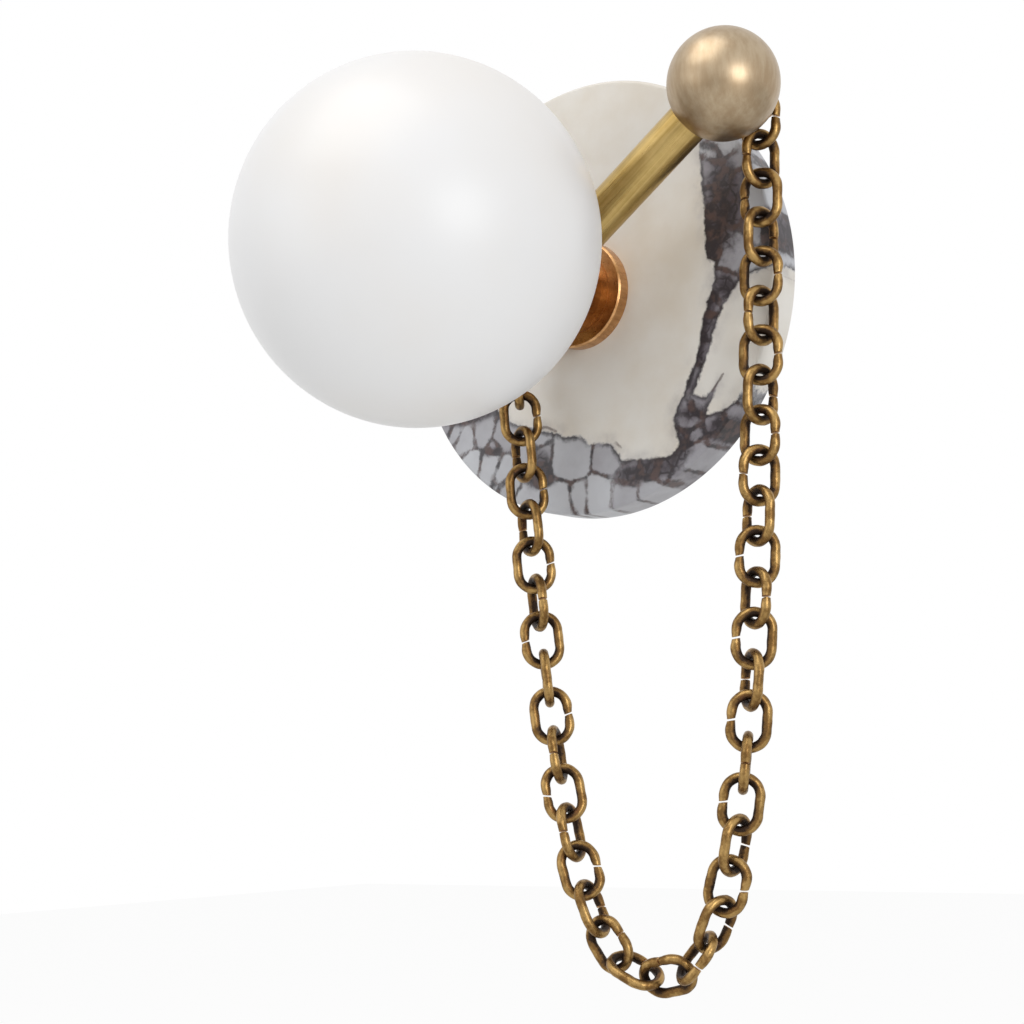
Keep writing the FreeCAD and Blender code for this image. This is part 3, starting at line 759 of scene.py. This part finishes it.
# %% Boss
BOSS_AROUND = 192
BOSS_BEVEL = 0.8 * MM
BOSS_STEP_RADIUS = 18.5 * MM
BOSS_STEP = 0.8 * MM
BEVEL_ROUND = 0.25 * MM
STEP_ROUND = 0.3 * MM
HIDDEN_ROUND = 0.2 * MM
NIPPLE_FIT = 0.05 * MM
boss_back, boss_front = off_wall("boss")
boss_radius = radius_of("boss")
nipple_fit = radius_of("centre_nipple") + NIPPLE_FIT
sunk = boss_front - BOSS_STEP
boss_corners = [(nipple_fit, boss_back), (boss_radius, boss_back),
                (boss_radius, boss_front - BOSS_BEVEL), (boss_radius - BOSS_BEVEL, boss_front),
                (BOSS_STEP_RADIUS, boss_front), (BOSS_STEP_RADIUS - BOSS_STEP, sunk), (nipple_fit, sunk)]
boss_profile = rounded(boss_corners, [0, HIDDEN_ROUND, BEVEL_ROUND, BEVEL_ROUND, STEP_ROUND, STEP_ROUND, 0])
boss_points = spun(np.concatenate([boss_profile, boss_profile[:1]]), WALL_CENTRE, OUT, BOSS_AROUND)
make_piece("bronze_boss", boss_points, boss_brown, "boss")

# %% [markdown]
# ## The chain
# Each link is a bent piece of wire, an oval left open by a slanting saw cut on one side. Where the
# links rub outwards they are worn to gold, and where they touch or face inwards the brown patina
# stays. Each packed link already lies where it hangs, so its own mesh says where its long, wide and
# thin directions are, and the new wire is bent along them.

# %% Antique brass
antique = Finish("antique_brass")
GOLD = linear(186, 152, 96)
BRONZE = linear(116, 86, 48)
PATINA = linear(44, 28, 15)
RUDDY = linear(110, 66, 42)
FRESH_CUT = linear(206, 170, 122)
ANTIQUE_RELIEF = 0.09 * MM

wear = antique.attribute("wear")
bright = antique.attribute("cut")
scuffs = antique.noise(520, 6, 0.68)
blotches = antique.noise(150, 4, 0.6)
worn = wear + (scuffs - 0.5) * 0.9 + (blotches - 0.5) * 0.8
skin = antique.mix(worn.step(0.22, 0.62), PATINA, BRONZE)
skin = antique.mix(blotches.step(0.55, 0.75) * 0.45, skin, RUDDY)
skin = antique.mix(worn.step(0.66, 1.12) * 0.8, skin, GOLD)
skin = antique.mix(bright * 0.75, skin, FRESH_CUT)
antique.set(base_color=skin, metallic=0.72 + worn.step(0.3, 0.8) * 0.28,
            roughness=0.50 - worn.step(0.3, 1.0) * 0.16,
            normal=antique.bump(scuffs * 0.6 + antique.noise(1500, 3) * 0.4, ANTIQUE_RELIEF))
print("antique brass nodes", len(antique.tree.nodes))

# %% [markdown]
# A packed link's surface is spread widest along its length, less across it and least through it, so
# the axes of that spread are the link's own directions.

# %% Where a packed link lies
def link_frame(node):
    """Centre, across, normal and along of a packed link, and its width and length.

    The three directions are the axes of its surface's spread. Across points to the sawn side, where
    the two sawn faces add more surface than the gap takes away.
    """
    mesh = frame["nodes"][node].data
    mesh.calc_loop_triangles()
    points = node_points(node)
    corners = np.array([t.vertices[:] for t in mesh.loop_triangles])
    a, b, c = (points[corners[:, k]] for k in range(3))
    weight = np.linalg.norm(np.cross(b - a, c - a), axis=1)
    middle = (a + b + c) / 3
    centre = (middle * weight[:, None]).sum(0) / weight.sum()
    spread = ((middle - centre) * weight[:, None]).T @ (middle - centre)
    normal, across, along = np.linalg.eigh(spread)[1].T
    true_centre = centre.copy()
    for axis in (across, normal, along):
        stations = (points - centre) @ axis
        true_centre += axis * (stations.min() + stations.max()) / 2
    if (centre - true_centre) @ across < 0:
        across = -across
    along = np.cross(across, normal)
    width = np.ptp((points - centre) @ across)
    length = np.ptp((points - centre) @ along)
    return true_centre, across, normal, along, width, length


links = sorted(name for name in frame["nodes"] if name.startswith("link_"))
print("links", len(links), "width and length", [round(v, 4) for v in link_frame(links[0])[4:]])

# %% [markdown]
# The wire's centre line is two half circles joined by two straight sides. It starts at one face of
# the cut and ends at the other, and a circle is carried along it. The circle's ends are pinched a
# little and slant with the saw. Small slow dents, different on each link, only ever cut inwards, so
# that neighbours never touch.

# %% The wire's path
LINK_WIRE = 4.4 * MM
LINK_CUT = 1.0 * MM
ALONG_WIRE = 112
ROUND_WIRE = 20


def wire_path(width, length):
    """Points, outward directions, distance from the cut and share walked on the centre line.

    The turn is 0 on the sawn side, rises to half a circle round the top, and to a whole one round the
    bottom. The height is that of the bend's centre, or of the wire itself on the straight sides.
    """
    side = (width - LINK_WIRE) / 2
    top = (length - width) / 2
    straight = top - LINK_CUT / 2
    arc = math.pi * side
    total = 2 * straight + 2 * arc + 2 * top
    walked = np.linspace(0, total, ALONG_WIRE)
    first, second, third, fourth = np.cumsum([straight, arc, 2 * top, arc])
    turn = np.clip((walked - first) / side, 0, math.pi) + np.clip((walked - third) / side, 0, math.pi)
    height = (np.minimum(LINK_CUT / 2 + walked, top) - np.clip(walked - second, 0, 2 * top)
              + np.maximum(walked - fourth, 0))
    outward = np.stack([np.cos(turn), np.sin(turn)], -1)
    points = side * outward
    points[:, 1] += height
    from_cut = np.minimum(walked, total - walked)
    return points, outward, from_cut, walked / total


print("wire", LINK_WIRE, "rings along and round it", ALONG_WIRE, ROUND_WIRE)

# %% The wire's surface
CUT_SLANT = math.radians(14)
PINCH = 0.16
PINCH_REACH = 1.6 * MM
DENT = 0.22 * MM
DENT_RANGE = 2 * (1 + 1 + 0.7)
LEAST_WEAR = 0.16
OUTER_WEAR = 0.62
FLANK_WEAR = 0.35
CROWN_PATINA = 0.45
UNEVEN_WEAR = 0.12


def link_grid(width, length, random):
    """A link about the origin: points (across, normal, along), and how worn each one is."""
    points, outward, from_cut, share = wire_path(width, length)
    angle = np.linspace(0, 2 * math.pi, ROUND_WIRE, endpoint=False)[None]
    phase = random.uniform(0, 2 * math.pi, 6)
    turn = 2 * math.pi * share[:, None]
    dents = (np.sin(3 * turn + phase[0] + 2 * np.sin(angle + phase[1]))
             + np.sin(7 * turn - 2 * angle + phase[2])
             + 0.7 * np.sin(13 * turn + 3 * angle + phase[3]))
    pinch = PINCH * np.exp(-(from_cut / PINCH_REACH) ** 2)[:, None]
    flattened = pinch * (0.4 + 0.6 * np.cos(angle) ** 2)
    radius = LINK_WIRE / 2 * (1 - flattened) - DENT * (dents / DENT_RANGE + 0.5)
    out = radius * np.cos(angle)
    thick = radius * np.sin(angle)
    grid = np.stack([points[:, :1] + outward[:, :1] * out, thick + 0 * points[:, :1],
                     points[:, 1:] + outward[:, 1:] * out], -1)
    slant = np.exp(-from_cut / LINK_WIRE)[:, None] * math.tan(CUT_SLANT)
    on_cut_side = points[:, :1] > 0
    grid[..., 2] += np.where(on_cut_side, (grid[..., 0] - (width - LINK_WIRE) / 2) * slant, 0)
    facing = np.cos(angle) * 0.5 + 0.5
    flank = np.abs(np.sin(angle))
    at_crown = np.abs(outward[:, 1:]) * (np.cos(angle) < 0.1)
    wear = (LEAST_WEAR + OUTER_WEAR * facing + FLANK_WEAR * flank - CROWN_PATINA * at_crown
            + UNEVEN_WEAR * np.sin(5 * turn + phase[4]))
    return grid, wear


# %% [markdown]
# Each end is closed by rings that shrink to a point, with a small worn edge. The bare metal of the
# sawn faces is brighter than the rest, so those rings are marked as cut and as well worn.

# %% Sawn ends and the forty-one links
CAP_RINGS = ((0.97, 0.0), (0.90, 0.10), (0.5, 0.13), (0.0, 0.14))
CAP_WEAR = 0.75
FIRST_SEED = 40


def end_caps(grid):
    """The two sawn faces: rings, each of a size and a rise in mm, that close on each end."""
    caps = []
    for end, inner in ((0, 1), (-1, -2)):
        ring = grid[end]
        middle = ring.mean(0)
        outwards = middle - grid[inner].mean(0)
        outwards /= np.linalg.norm(outwards)
        rings = [middle + (ring - middle) * size + outwards * rise * MM for size, rise in CAP_RINGS]
        caps.append(np.stack(rings))
    return caps


def build_link(node, seed):
    """One link in the place of a packed one, with dents and wear of its own."""
    centre, across, normal, along, width, length = link_frame(node)
    random = np.random.default_rng(seed)
    grid, wear = link_grid(width, length, random)
    first, last = end_caps(grid)
    whole = np.concatenate([first[::-1], grid, last])
    caps = np.ones((len(CAP_RINGS), ROUND_WIRE))
    worn = np.concatenate([caps * CAP_WEAR, wear, caps * CAP_WEAR])
    sawn = np.concatenate([caps, np.zeros_like(wear), caps])
    placed = centre + whole @ np.stack([across, normal, along])
    make_piece(node.replace("link", "chain_link"), placed, antique, node, {"wear": worn, "cut": sawn})


for number, name in enumerate(links):
    build_link(name, FIRST_SEED + number)

# %% [markdown]
# ## The pieces that the globe and the disc hide
# The lamp comes apart like the real one, so the hidden pieces are finished too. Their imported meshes
# are already the right shape, and each only needs a material: zinc on the bracket, nipple and nuts,
# brass on the hub, fitter and studs, spring steel on the leaves, and porcelain, glass and cable.

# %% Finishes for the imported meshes
PORCELAIN_RELIEF = 0.03 * MM
porcelain = Finish("porcelain")
glaze = porcelain.mix(porcelain.noise(120, 4), linear(236, 232, 222), linear(222, 216, 203))
porcelain.set(base_color=glaze, roughness=0.45 + porcelain.noise(500, 2) * 0.1,
              normal=porcelain.bump(porcelain.noise(700, 3), PORCELAIN_RELIEF))
frosted = Finish("frosted_lamp_glass")
frosted.set(base_color=frosted.mix(frosted.noise(80, 3), linear(240, 238, 232), linear(230, 228, 222)),
            roughness=0.30 + frosted.noise(200, 2) * 0.1, coat_weight=0.3, coat_roughness=0.1)
sleeve = Finish("wire_sleeve")
sleeve.set(base_color=sleeve.mix(sleeve.noise(300, 3), linear(208, 206, 200), linear(190, 188, 182)),
           roughness=0.5 + sleeve.noise(900, 2) * 0.1)
kept = {"wall_bracket": zinc, "centre_nipple": zinc, "nipple_nuts": zinc, "ball_joint_stud": zinc,
        "hub": turned_brass, "arm_grub_screw": turned_brass, "globe_fitter": turned_brass,
        "fitter_springs": spring_steel, "lamp_holder": porcelain, "bulb": frosted, "lead_wires": sleeve,
        "chain_studs": turned_brass}
for name, finish in kept.items():
    mesh = frame["nodes"][name].data
    mesh.materials.clear()
    mesh.materials.append(finish.material)
print("packed meshes with a finish", len(kept))
